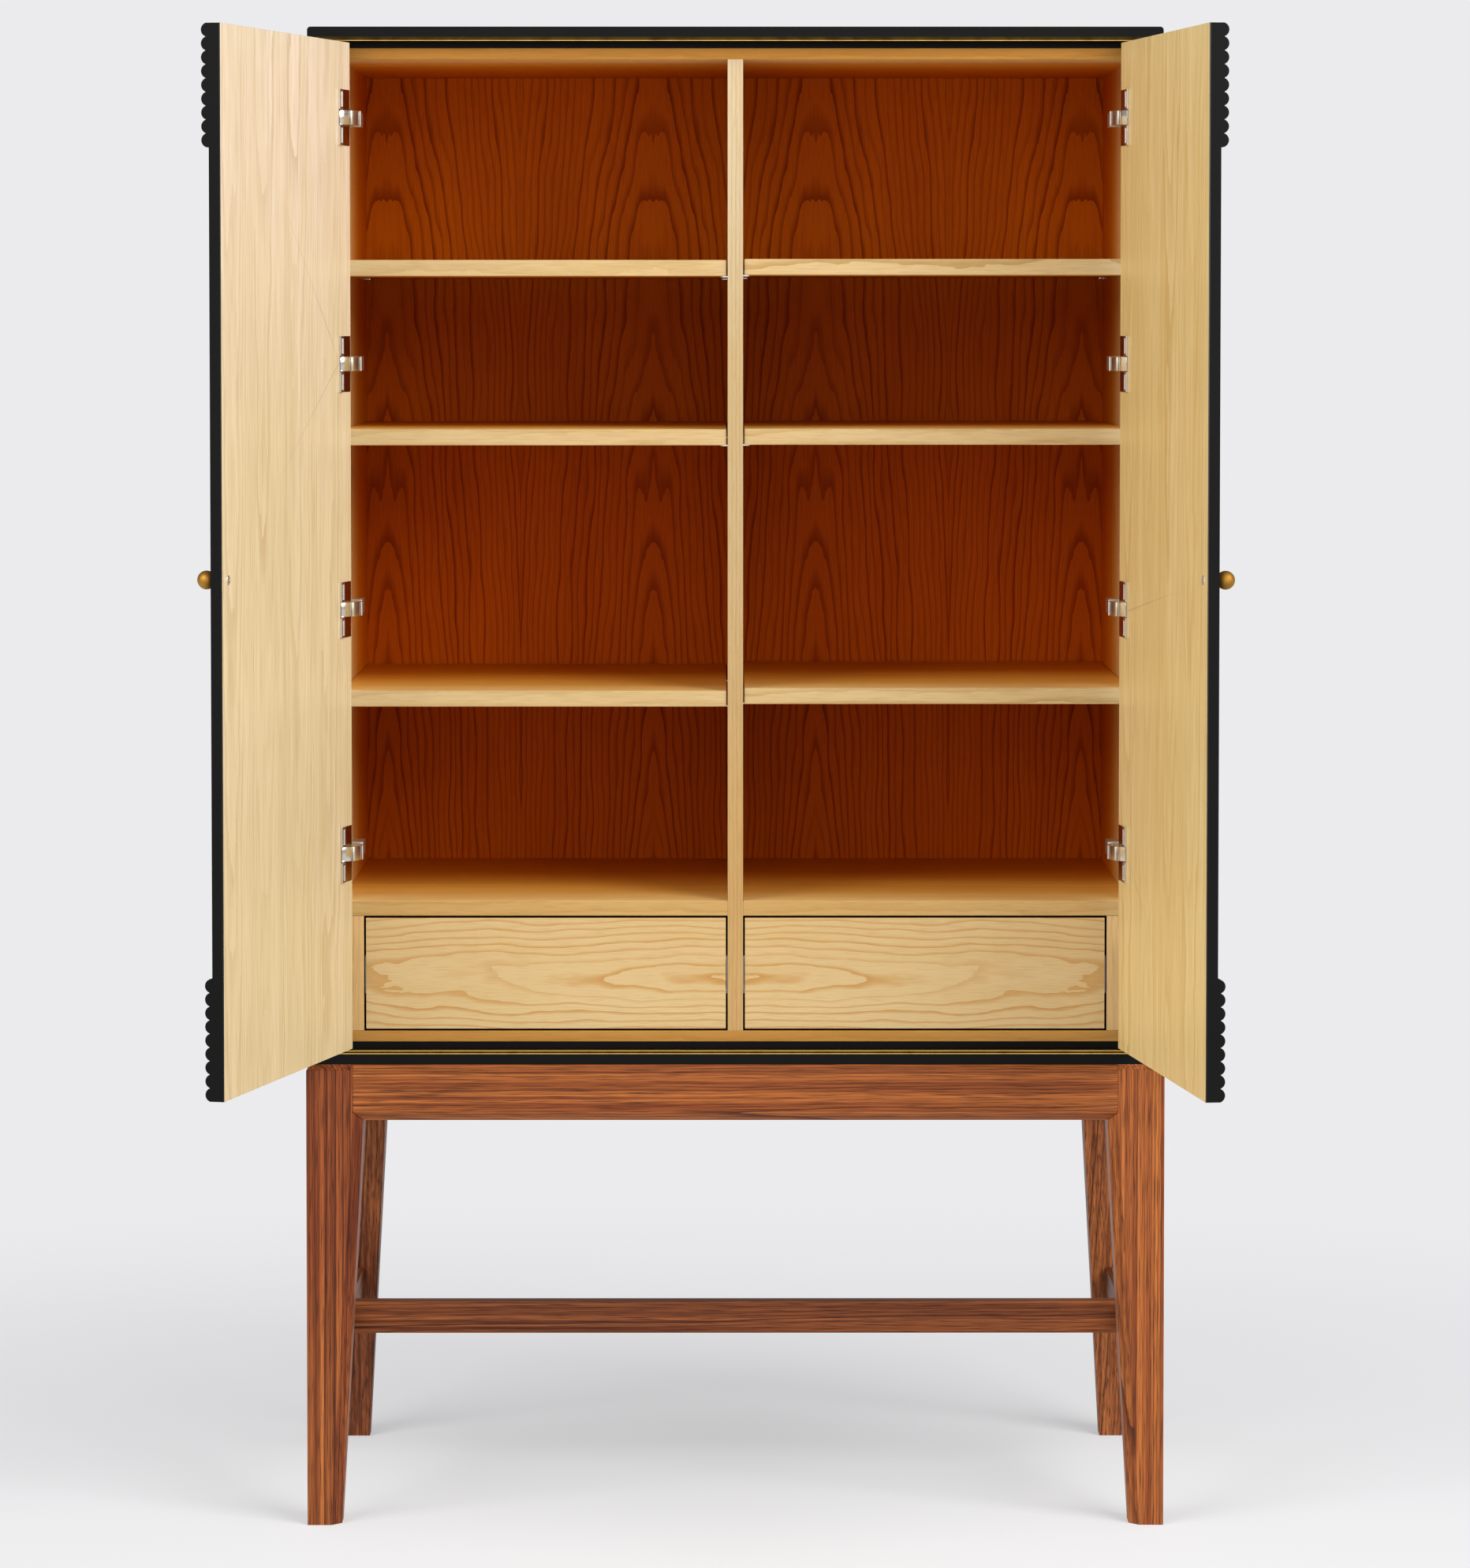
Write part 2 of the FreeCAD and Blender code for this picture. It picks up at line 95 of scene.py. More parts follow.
def new_finish(name):
    """A new material, with its nodes and its shader."""
    made = bpy.data.materials.new(name)
    made.use_nodes = True
    return made, made.node_tree, made.node_tree.nodes["Principled BSDF"]


def timber(name, along, across, centre, look):
    """Oiled or lacquered timber. The rings lie round a pith that leans through the board, so a flat
    cut shows cathedrals in its middle and straight lines towards its edges. Leaves of veneer, where
    there are some, are matched like the pages of a book on both sides of the centre."""
    made, tree, shader = new_finish(name)
    place = add(tree, "TexCoord", {})["Object"]
    centred = add(tree, "Mapping", {"Vector": place, "Location": [-c for c in centre]})[0]
    axes = add(tree, "SeparateXYZ", {0: centred})
    through = ({"X", "Y", "Z"} - {along, across}).pop()
    wide, long = axes[across], axes[along]
    if "leaf" in look:
        first, half_leaf = (size * MM for size in look["leaf"])
        wide = add(tree, "Math", {0: wide}, operation="ABSOLUTE")[0]
        wide = add(tree, "Math", {0: wide, 1: first}, operation="SUBTRACT")[0]
        wide = add(tree, "Math", {0: wide, 1: half_leaf}, operation="PINGPONG")[0]
    if "book" in look:
        long = add(tree, "Math", {0: long}, operation="ABSOLUTE")[0]
    grain = add(tree, "CombineXYZ", {0: wide, 1: axes[through], 2: long})[0]

    def streaks(width, length, detail):
        """Noise drawn out along the grain, with both sizes in mm."""
        size = [1 / (s * MM) for s in (width, width, length)]
        stretched = add(tree, "Mapping", {"Vector": grain, "Scale": size})[0]
        return add(tree, "TexNoise", {"Vector": stretched, "Scale": 1, "Detail": detail})

    def facing(direction):
        """How squarely the surface looks in a direction."""
        normal = add(tree, "TexCoord", {})["Normal"]
        return add(tree, "VectorMath", {0: normal, 1: direction}, operation="DOT_PRODUCT")["Value"]

    sway = look["sway"] * MM
    drift = add(
        tree, "VectorMath",
        {0: streaks(*look["sway_size"], 2)["Color"], 1: [sway, sway, 0], 2: [-sway / 2] * 3},
        operation="MULTIPLY_ADD",
    )[0]
    bent = add(tree, "VectorMath", {0: grain, 1: drift})[0]
    pith = [look["off"] * MM, look["pith"] * MM, 0]
    log = add(tree, "Mapping", {"Vector": bent, "Location": pith, "Rotation": [look["lean"], 0, 0]})[0]
    log = add(tree, "VectorMath", {0: log, 1: [1, 1, 0]}, operation="MULTIPLY")[0]
    radius = add(tree, "VectorMath", {0: log}, operation="LENGTH")["Value"]
    ripple = streaks(*look["ripple_size"], 3)["Fac"]
    ripple = add(tree, "Math", {0: ripple, 1: look["ripple"]}, operation="MULTIPLY")[0]
    per_metre = 1 / (look["ring"] * MM)
    turns = add(tree, "Math", {0: radius, 1: per_metre, 2: ripple}, operation="MULTIPLY_ADD")[0]
    within = add(tree, "Math", {0: turns}, operation="FRACT")[0]
    which = add(tree, "Math", {0: turns}, operation="FLOOR")[0]
    year = add(tree, "TexWhiteNoise", {"W": which}, noise_dimensions="1D")["Value"]
    year = add(tree, "MapRange", {"Value": year, "To Min": look["faint"], "To Max": look["bold"]})[0]
    line = add(
        tree, "MapRange", {"Value": within, "From Max": look["fade"], "To Min": 1, "To Max": 0},
        interpolation_type="SMOOTHSTEP",
    )[0]
    line = add(tree, "Math", {0: line, 1: year}, operation="MULTIPLY")[0]
    patch = streaks(*look["patch_size"], 2)["Fac"]
    patch = add(tree, "MapRange", {"Value": patch, "From Min": PATCH_FROM, "From Max": PATCH_TO})[0]
    fibre = streaks(*look["fibre"], 2)["Fac"]
    pores = add(tree, "MapRange", {
        "Value": fibre, "From Min": PORE_FROM, "From Max": PORE_TO, "To Min": look["pores"], "To Max": 0,
    })[0]
    shade = add(tree, "Mix", {0: patch, 6: tone(look["pale"]), 7: tone(look["warm"])}, data_type="RGBA")[2]
    shade = add(tree, "Mix", {0: line, 6: shade, 7: tone(look["late"])}, data_type="RGBA")[2]
    shade = add(tree, "Mix", {0: pores, 6: shade, 7: tone(look["pore"])}, data_type="RGBA")[2]
    if "leaf" in look:
        seam_from = half_leaf - look["seam_width"] * MM
        joint = add(tree, "MapRange", {
            "Value": wide, "From Min": seam_from, "From Max": half_leaf, "To Max": look["seam"],
        })[0]
        shade = add(tree, "Mix", {0: joint, 6: shade, 7: tone(look["pore"])}, data_type="RGBA")[2]
    # Tints along an axis, partly real stain and partly painted light and shade, growing between two
    # places.
    for axis, start, full, stain_shade_tint in look.get("stain_and_shading", ()):
        depth = add(
            tree, "MapRange",
            {"Value": add(tree, "SeparateXYZ", {0: place})[axis], "From Min": start, "From Max": full},
            interpolation_type="SMOOTHSTEP",
        )[0]
        shade = add(
            tree, "Mix", {0: depth, 6: shade, 7: tone(stain_shade_tint)}, data_type="RGBA", blend_type="MULTIPLY",
        )[2]
    # Faces turned in a direction take a tint: the front left leg's chamfer is darker, and front edges,
    # shut-in faces and drawer edges are tinted as painted shade.
    for direction, least, tint in look.get("facets", ()):
        turned = add(tree, "Math", {0: facing(direction), 1: least}, operation="GREATER_THAN")[0]
        shade = add(
            tree, "Mix", {0: turned, 6: shade, 7: tone(tint)}, data_type="RGBA", blend_type="MULTIPLY",
        )[2]
    # Faces turned away from the face are black: the door linings' edges, and painted shade on the packers.
    if "face" in look:
        edge = add(tree, "Math", {0: facing(look["face"]), 1: NEARLY}, operation="LESS_THAN")[0]
        shade = add(tree, "Mix", {0: edge, 6: shade, 7: tone(BLACK_EDGE_AND_GAP_SHADE)}, data_type="RGBA")[2]
    tree.links.new(shade, shader.inputs["Base Color"])
    shader.inputs["Specular IOR Level"].default_value = look["gloss"]
    smooth, dull = look["rough"] - SHEEN_SPREAD, look["rough"] + SHEEN_SPREAD
    rough = add(tree, "MapRange", {"Value": fibre, "To Min": smooth, "To Max": dull})[0]
    tree.links.new(rough, shader.inputs["Roughness"])
    relief = look["relief"] * MM
    bump = add(tree, "Bump", {"Height": fibre, "Strength": GRAIN_BUMP, "Distance": relief})[0]
    tree.links.new(bump, shader.inputs["Normal"])
    return made


def dress(names, finish, edge):
    """Gives pieces of the frame their finish, and eases their sharp edges by a radius in mm."""
    for name in names:
        piece = nodes[name]
        piece.data.materials.clear()
        piece.data.materials.append(finish)
        weld = piece.modifiers.new("weld", "WELD")
        weld.merge_threshold = WELD * MM
        ease = piece.modifiers.new("eased_edge", "BEVEL")
        ease.width = edge * MM
        ease.segments = 2
        ease.limit_method = "ANGLE"
        ease.angle_limit = math.radians(SHARP)


def middle(*names):
    """The centre of the box round some pieces of the frame."""
    corners = [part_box(name) for name in names]
    return [(min(c[0][n] for c in corners) + max(c[1][n] for c in corners)) / 2 for n in range(3)]


# A look is a wood's tones and the sizes of its figure, in mm. Its pith lies at "pith" below the board and
# "off" to its side. Each tint by place has an axis, where it starts and is full, in metres, and a colour;
# it is partly real stain and partly painted light and shade. The real rings and pores are finer than a
# pixel here, so they are drawn about twice as coarse.
walnut = {
    "pale": "B0662F", "warm": "783A19", "late": "3C180B", "pore": "2A1008", "rough": 0.45, "gloss": 0.18,
    "ring": 3.4, "pith": 90, "off": 0, "lean": 0.02, "sway": 14, "sway_size": (60, 420),
    "ripple": 0.5, "ripple_size": (8, 260), "faint": 0, "bold": 1, "fade": 0.6,
    "patch_size": (5, 900), "fibre": (0.9, 48), "pores": 0.75, "relief": 0.25,
}
# The rear legs and the stretchers are toned darker, as painted shade under the case. The front left leg is
# darker towards its top and on its inner chamfer, and the rear left leg towards its foot.
shaded_board = {"pale": "98552B", "warm": "5A2A12", "late": "30130A"}
inner_chamfer = (0.707, -0.707, 0)
boards = {
    "front_left": {
        "stain_and_shading": [("Z", 0.12, 0.36, "DECCD0")], "facets": [(inner_chamfer, SQUARELY, "DCCCCC")],
        "pale": "B0662F", "warm": "6E3617",
    },
    "front_right": {},
    "rear_left": shaded_board | {"stain_and_shading": [("Z", 0.4, 0.18, "D2C6CA")], "pale": "AA6435"},
    "rear_right": {"pale": "AC6535", "warm": "6C3619"},
}
for number, (corner, board) in enumerate(boards.items()):
    leg = f"leg_{corner}"
    log = {"off": 30 + 25 * number, "pith": 70 + 20 * number, "lean": 0.003, "sway": 5, "ring": 3.2}
    look = walnut | log | board
    dress([leg], timber(f"walnut_{leg}", "Z", "X", middle(leg), look), STAND_EASE)
for number, (rail, along) in enumerate((
    ("apron_front", "X"), ("apron_rear", "X"), ("apron_left", "Y"), ("apron_right", "Y"),
    ("stretcher_cross", "X"), ("stretcher_left", "Y"), ("stretcher_right", "Y"),
)):
    look = walnut | {"off": 64 + 9 * number, "pith": 60 + 15 * number, "lean": 0.015}
    # The stretchers take the darker tones, as painted shade.
    if "stretcher" in rail:
        look |= shaded_board
    dress([rail], timber(f"walnut_{rail}", along, "Z", middle(rail), look), STAND_EASE)

# Case: top, bottom, two sides and a back of board, sprayed with black satin lacquer.
# The lacquer is thin, so a trace of the wood's pores shows as a faint relief, and the
# outer edges are rounded over a little before spraying.
TOP_EASE, SIDE_EASE = 1.2, 1
PORE, PORE_RUN, CLOUD = 1.2 * MM, 30 * MM, 120 * MM


def lacquer(name, along):
    """Black satin lacquer with a faint relief of pores along one axis."""
    made, tree, shader = new_finish(name)
    shader.inputs["Specular IOR Level"].default_value = 0.08
    place = add(tree, "TexCoord", {})["Object"]
    size = [1 / PORE_RUN if axis == along else 1 / PORE for axis in "XYZ"]
    stretched = add(tree, "Mapping", {"Vector": place, "Scale": size})[0]
    pores = add(tree, "TexNoise", {"Vector": stretched, "Scale": 1, "Detail": 2})["Fac"]
    cloud = add(tree, "TexNoise", {"Vector": place, "Scale": 1 / CLOUD, "Detail": 3})["Fac"]
    shade = add(tree, "Mix", {0: cloud, 6: tone("0A0A0A"), 7: tone("11100F")}, data_type="RGBA")[2]
    tree.links.new(shade, shader.inputs["Base Color"])
    rough = add(tree, "MapRange", {"Value": cloud, "To Min": 0.5, "To Max": 0.64})[0]
    tree.links.new(rough, shader.inputs["Roughness"])
    bump = add(tree, "Bump", {"Height": pores, "Strength": 0.15, "Distance": 0.15 * MM})[0]
    tree.links.new(bump, shader.inputs["Normal"])
    return made


lacquer_flat = lacquer("black_lacquer_flat", "X")
lacquer_upright = lacquer("black_lacquer_upright", "Z")
dress(["case_top", "case_bottom"], lacquer_flat, TOP_EASE)
dress(["case_left", "case_right", "case_back"], lacquer_upright, SIDE_EASE)

# Brass line: four strips of drawn channel let into a rebate round the mouth of the case. Their lips
# catch the light and the groove is lined with a dark brass. The brass is brushed and a little tarnished;
# the upper lip of the top strip is in the dark brass as painted shade under the top, and the
# lips of the lower strip are worn broader.
LINE, GROOVE = 4.5 * MM, 2 * MM
WORN_LIP, LIP = 1.25 * MM, 0.6 * MM
TARNISH, SCRATCH = 18 * MM, 0.8 * MM


def brass(name, bright, tarnish, rough):
    """Brushed brass with brown tarnish in soft patches."""
    made, tree, shader = new_finish(name)
    shader.inputs["Metallic"].default_value = 1
    place = add(tree, "TexCoord", {})["Object"]
    patch = add(tree, "TexNoise", {"Vector": place, "Scale": 1 / TARNISH, "Detail": 4})["Fac"]
    patch = add(tree, "MapRange", {"Value": patch, "From Min": 0.4, "From Max": 0.75})[0]
    shade = add(tree, "Mix", {0: patch, 6: tone(bright), 7: tone(tarnish)}, data_type="RGBA")[2]
    tree.links.new(shade, shader.inputs["Base Color"])
    rough = add(tree, "MapRange", {"Value": patch, "To Min": rough, "To Max": rough + 0.15})[0]
    tree.links.new(rough, shader.inputs["Roughness"])
    scratch = add(tree, "TexNoise", {"Vector": place, "Scale": 1 / SCRATCH, "Detail": 2})["Fac"]
    bump = add(tree, "Bump", {"Height": scratch, "Strength": 0.1, "Distance": 0.05 * MM})[0]
    tree.links.new(bump, shader.inputs["Normal"])
    return made


def block(name, low, high):
    """A block between two corners, as the start of a piece."""
    bpy.ops.object.select_all(action="DESELECT")
    bpy.ops.mesh.primitive_cube_add(size=1, location=[(a + b) / 2 for a, b in zip(low, high)])
    piece = bpy.context.object
    piece.name = name
    piece.scale = [b - a for a, b in zip(low, high)]
    bpy.ops.object.transform_apply(location=True, rotation=True, scale=True)
    return piece


def pick(piece, wanted):
    """Goes into edit mode with just the wanted faces selected, chosen by centre and normal."""
    bpy.ops.object.mode_set(mode="EDIT")
    bpy.ops.mesh.select_mode(type="FACE")
    bpy.ops.mesh.select_all(action="DESELECT")
    bpy.ops.object.mode_set(mode="OBJECT")
    for face in piece.data.polygons:
        face.select = wanted(face.center, face.normal)
    bpy.ops.object.mode_set(mode="EDIT")


def join(pieces, name):
    """Joins pieces into one."""
    bpy.ops.object.select_all(action="DESELECT")
    for piece in pieces:
        piece.select_set(True)
    bpy.context.view_layer.objects.active = pieces[0]
    bpy.ops.object.join()
    pieces[0].name = name
    return pieces[0]


drawn_brass = brass("drawn_brass", "D2AA58", "B08840", 0.26)
groove_brass = brass("dark_groove_and_lip_shade_brass", "4A3818", "2C210F", 0.45)
(left, front, foot), (right, rear, head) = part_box("brass_line")
strips = []
for low, high, lip in (
    ((left, front, foot), (right, rear, foot + LINE), WORN_LIP),
    ((left, front, head - LINE), (right, rear, head), LIP),
    ((left, front, foot + LINE), (left + LINE, rear, head - LINE), LIP),
    ((right - LINE, front, foot + LINE), (right, rear, head - LINE), LIP),
):
    strip = block("brass_strip", low, high)
    pick(strip, lambda centre, normal: normal.y < -SQUARELY)
    bpy.ops.mesh.inset(thickness=lip)
    bpy.ops.mesh.extrude_region_move(TRANSFORM_OT_translate={"value": (0, GROOVE, 0)})
    bpy.ops.mesh.select_more()
    strip.data.materials.append(drawn_brass)
    strip.data.materials.append(groove_brass)
    strip.active_material_index = 1
    bpy.ops.object.material_slot_assign()
    # The top strip's upper lip takes the dark brass too, as painted shade under the case's top.
    pick(strip, lambda centre, normal: normal.y < -SQUARELY and centre.z > head - LIP)
    bpy.ops.object.material_slot_assign()
    bpy.ops.object.mode_set(mode="OBJECT")
    strips.append(strip)
brass_strips = join(strips, "brass_strips")
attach(brass_strips, "cabinet")
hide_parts("brass_line")

# Lining, divider and decks: boards faced with ash veneer under a clear satin lacquer.
# Ash is ring-porous: each year begins with a band of open pores that reads as a fine dark line.
# Deeper in the case the ash turns a darker amber, partly as the lacquer's stain and partly as painted
# shade.
BACK_EASE, WALL_EASE, BOARD_EASE = 0.3, 0.5, 0.8
FRONT, UNDER, UPPER = (0, -1, 0), (0, 0, -1), (0, 0, 1)
# Faces shut in against other boards are painted dark, as painted shade.
SHUT_IN_SHADE = "3A2C1C"
ash = {
    "pale": "C4AB83", "warm": "BB9C6E", "late": "A9844F", "pore": "966F3D", "rough": 0.42, "gloss": 0.4,
    "ring": 7.5, "pith": 60, "off": 0, "lean": 0.08, "sway": 22, "sway_size": (70, 260),
    "ripple": 0.55, "ripple_size": (10, 45), "faint": 0.2, "bold": 0.85, "fade": 0.5,
    "patch_size": (60, 500), "fibre": (0.9, 30), "pores": 0.25, "relief": 0.2,
    "seam": 0.4, "seam_width": 0.8,
}
mouth_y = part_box("divider")[0].y


def inwards(start, full, stain_shade_tint):
    """A tint that deepens between two distances behind the mouth, in mm, as stain and painted shade."""
    return "Y", mouth_y + start * MM, mouth_y + full * MM, stain_shade_tint


# The walls, the boards near the mouth and the ceiling are tinted less near the front, as painted light.
interior_stain_and_shade = inwards(20, 200, "FFBC59"), inwards(120, 360, "FFCE30")
walls = inwards(100, 370, "FFC24E"), inwards(260, 460, "FFCA28")
lit = inwards(-50, 170, "F0CE84"), inwards(120, 400, "E6B024")
ceiling = inwards(-60, 200, "FFCC6A"), inwards(100, 400, "FFE270")
stain_and_shading = ash | {"stain_and_shading": interior_stain_and_shade, "gloss": 0.12}
fresh = {"pale": "E8D0A4", "warm": "DEC08C", "late": "C49E64", "pore": "A8834C"}
# Paler tones for the decks and the shelves, as painted light.
lit_tones = {"pale": "FBDC9C", "warm": "F0CB84", "late": "D2A65C", "pore": "B48946"}
mid_x = middle("case_top")[0]
back_centre = [mid_x, *middle("liner_back")[1:]]
# Below its top bay the back is tinted a little darker, as painted shade.
look = stain_and_shading | {
    "leaf": (103, 168.5), "pale": "DCC091", "warm": "D2B07A", "late": "8A5628", "gloss": 0.02,
    "lean": -0.09, "off": 14, "faint": 0.25, "bold": 0.9, "ripple": 0.5, "ripple_size": (9, 80),
    "sway": 22, "sway_size": (50, 200), "stain_and_shading": [*interior_stain_and_shade, ("Z", 1.5, 1.42, "EED8FF")],
}
dress(["liner_back"], timber("ash_back", "Z", "X", back_centre, look), BACK_EASE)
look = stain_and_shading | fresh | {"lean": 0.02, "stain_and_shading": walls}
for name in ("liner_left", "liner_right"):
    dress([name], timber(f"ash_{name}", "Z", "Y", middle(name), look), WALL_EASE)
# Front edges are tinted darker, as painted shade in the mouth of the case, and shut-in faces are dark.
for name, tones, front_edge_shade, depths, hidden in (
    ("liner_top", fresh, "BE9A58", ceiling, UPPER),
    ("liner_bottom", fresh, "C8A972", lit, UPPER),
    ("decks", lit_tones, "C2B9AF", lit, UNDER),
):
    look = stain_and_shading | tones | {"stain_and_shading": depths, "lean": 0.006, "off": 80, "ring": 5, "sway": 8}
    look |= {"facets": [(FRONT, LOOSELY, front_edge_shade), (hidden, SQUARELY, SHUT_IN_SHADE)]}
    dress([name], timber(f"ash_{name}", "X", "Y", middle(name), look), BOARD_EASE)
# The divider is painted paler at its top and darker towards its foot, as painted light and shade.
look = stain_and_shading | {
    "pale": "BEAF93", "warm": "B5A07C", "lean": 0.001, "off": 90, "pith": 160, "ring": 3, "sway": 3,
    "stain_and_shading": [*interior_stain_and_shade, ("Z", 1.62, 1.3, "FAF2DE"), ("Z", 1.2, 0.7, "FFEFD7")],
}
dress(["divider"], timber("ash_divider", "Z", "X", middle("divider"), look), BOARD_EASE)
# The packers' sides and back are painted black, as painted shade in the gaps beside the drawers.
look = stain_and_shading | {"pale": "D2AD77", "warm": "C79E65", "lean": 0.004, "face": FRONT}
dress(["drawer_packers"], timber("ash_packers", "Z", "X", middle("drawer_packers"), look), WALL_EASE)

# Shelves: six loose boards faced with ash, each with a solid lipping glued to its front edge.
# They lie on metal pegs, and like the decks they are painted paler towards the front, as painted light.
levels = [f"shelf_{level}_{side}" for level in ("high", "mid", "low") for side in ("left", "right")]
for number, name in enumerate(levels):
    # Their front edges are tinted back darker than the painted light on their faces.
    look = stain_and_shading | lit_tones | {"stain_and_shading": lit, "facets": [(FRONT, LOOSELY, "CACEE0")]}
    look |= {"pith": 40 + 17 * number, "off": 30 - 13 * number, "lean": 0.012, "ring": 6, "sway": 12}
    dress([name], timber(f"ash_{name}", "X", "Y", middle(name), look), BOARD_EASE)

# Pegs and drawer runners: pressed and rolled steel, plated with nickel. A peg is a round pin
# in a drilled hole and a flat tab with rounded corners, and a shelf lies on four of them.
TAB, TAB_W, TAB_T, TAB_ROUND = 9 * MM, 12 * MM, 1.5 * MM, 3 * MM
PIN_R, PIN_IN, PIN_DROP, SHELF_GAP = 2.5 * MM, 7 * MM, 3 * MM, 1.5 * MM
HAZE, RUNNER_EASE = 9 * MM, 0.4


def nickel(name, rough):
    """Nickel plate on pressed steel, with the faint haze of handling."""
    made, tree, shader = new_finish(name)
    shader.inputs["Metallic"].default_value = 1
    place = add(tree, "TexCoord", {})["Object"]
    haze = add(tree, "TexNoise", {"Vector": place, "Scale": 1 / HAZE, "Detail": 4})["Fac"]
    shade = add(tree, "Mix", {0: haze, 6: tone("E2DCD2"), 7: tone("C6BFB4")}, data_type="RGBA")[2]
    tree.links.new(shade, shader.inputs["Base Color"])
    rough = add(tree, "MapRange", {"Value": haze, "To Min": rough - 0.06, "To Max": rough + 0.08})[0]
    tree.links.new(rough, shader.inputs["Roughness"])
    return made


def peg(out):
    """A peg at the origin: the tab's top is at zero, and the wall is behind it."""
    near, far = sorted((0, out * TAB))
    tab = block("peg", (near, -TAB_W / 2, -TAB_T), (far, TAB_W / 2, 0))
    bpy.ops.object.mode_set(mode="EDIT")
    bpy.ops.mesh.select_mode(type="EDGE")
    bpy.ops.mesh.select_all(action="DESELECT")
    bpy.ops.object.mode_set(mode="OBJECT")
    points = tab.data.vertices
    for edge in tab.data.edges:
        ends = [points[n].co for n in edge.vertices]
        edge.select = abs(ends[0].z - ends[1].z) > TAB_T / 2 and all(abs(e.x) > TAB / 2 for e in ends)
    bpy.ops.object.mode_set(mode="EDIT")
    bpy.ops.mesh.bevel(offset=TAB_ROUND, segments=5)
    bpy.ops.object.mode_set(mode="OBJECT")
    bpy.ops.object.select_all(action="DESELECT")
    bpy.ops.mesh.primitive_cylinder_add(
        vertices=16, radius=PIN_R, depth=PIN_IN, location=(-out * PIN_IN / 2, 0, -PIN_DROP),
        rotation=(0, math.pi / 2, 0),
    )
    bpy.ops.object.transform_apply(location=True, rotation=True, scale=True)
    return join([tab, bpy.context.object], "peg")


bright_nickel, runner_steel = nickel("bright_nickel", 0.16), nickel("runner_steel", 0.35)
peg_low, peg_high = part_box("shelf_pegs")
peg_models = {out: peg(out) for out in (1, -1)}
peg_set = []
for name in levels:
    shelf_low, shelf_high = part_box(name)
    for out, wall in ((1, shelf_low.x - SHELF_GAP), (-1, shelf_high.x + SHELF_GAP)):
        for y in (peg_low.y + TAB_W / 2, peg_high.y - TAB_W / 2):
            bpy.ops.object.select_all(action="DESELECT")
            made = peg_models[out].copy()
            made.data = made.data.copy()
            bpy.context.scene.collection.objects.link(made)
            made.select_set(True)
            bpy.context.view_layer.objects.active = made
            made.location = (wall, y, shelf_low.z)
            bpy.ops.object.transform_apply(location=True, rotation=True, scale=True)
            peg_set.append(made)
for model in peg_models.values():
    bpy.data.objects.remove(model)
pegs = join(peg_set, "pegs")
pegs.data.materials.append(bright_nickel)
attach(pegs, "cabinet")
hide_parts("shelf_pegs")
dress(["runner_channels", "drawer_bars_left", "drawer_bars_right"], runner_steel, RUNNER_EASE)

# Drawers: fronts of ash, book-matched about the divider, on boxes of plain ash boards.
# The edges of the fronts are tinted brown as painted shade, so that the gaps round them read as dark
# lines.
FRONT_EASE, GAP_SHADE = 0.4, "8A7458"
front_centre = [mid_x, *middle("drawer_front_left")[1:]]
look = ash | {
    "pale": "C6AC7C", "warm": "BE9F69", "late": "B0803A", "pore": "9C7238",
    "lean": -0.05, "pith": 22, "off": 6, "ring": 8, "book": True, "faint": 0.4, "bold": 1, "fade": 0.4,
    "sway": 30, "sway_size": (70, 180),
    "facets": [(edge, NEARLY, GAP_SHADE) for edge in ((1, 0, 0), (-1, 0, 0), UPPER, UNDER)],
}
drawer_front = timber("ash_drawer_fronts", "X", "Z", front_centre, look)
look = ash | {"lean": 0.02}
for side in ("left", "right"):
    dress([f"drawer_front_{side}"], drawer_front, FRONT_EASE)
    for part, along, across in (("sides", "Y", "Z"), ("back", "X", "Z"), ("bottom", "X", "Y")):
        name = f"drawer_{part}_{side}"
        dress([name], timber(f"ash_{name}", along, across, middle(name), look), BOARD_EASE)

# Doors: boards in the case's lacquer with nine reeds across the top and the bottom of the face,
# lined inside with four leaves of straight-grained ash, and drawn by a turned brass ball.
LINING_EASE, DOOR_EASE, KNOB_EASE = 0.3, 0.4, 0.3
straight = {
    "lean": 0.012, "pith": 150, "ring": 3.6, "faint": 0.1, "bold": 0.8, "fade": 0.7, "sway": 12,
    "leaf": (59, 59), "patch_size": (30, 600), "fibre": (0.8, 80), "pores": 0.5,
}
# The left lining is painted paler, most towards its top, and the right one a deeper honey, as painted
# light and shade.
lit_lining = {
    "pale": "EDDBC3", "warm": "E4D1B1", "late": "CFB592", "pore": "B79A70",
    "stain_and_shading": [("Z", 1.66, 1.12, "F3F3E0"), ("Z", 1.12, 0.68, "F5F3EE")],
}
shaded_lining = {"pale": "EAD196", "warm": "E0C282", "late": "CEAC68", "pore": "B99552"}
knob_brass = brass("aged_brass", "B98A3A", "94692C", 0.5)
joints = {joint["name"]: joint for joint in frame["joints"]}


def opened(side):
    """The point a door swings about, and the angle it stands open at, from shut."""
    swing = joints[f"{side}_door_swing"]
    return swing["pos_m"], math.radians(-swing["range_deg"][0] * swing["axis"][2])


for side, tint in (("left", lit_lining), ("right", shaded_lining)):
    lining = f"door_lining_{side}"
    turn = opened(side)[1]
    look = ash | straight | tint | {"face": (-math.sin(turn), math.cos(turn), 0)}
    dress([lining], timber(f"ash_{lining}", "Z", "Y", middle(lining), look), LINING_EASE)
    dress([f"door_board_{side}"], lacquer_upright, DOOR_EASE)
    dress([f"knob_{side}"], knob_brass, KNOB_EASE)

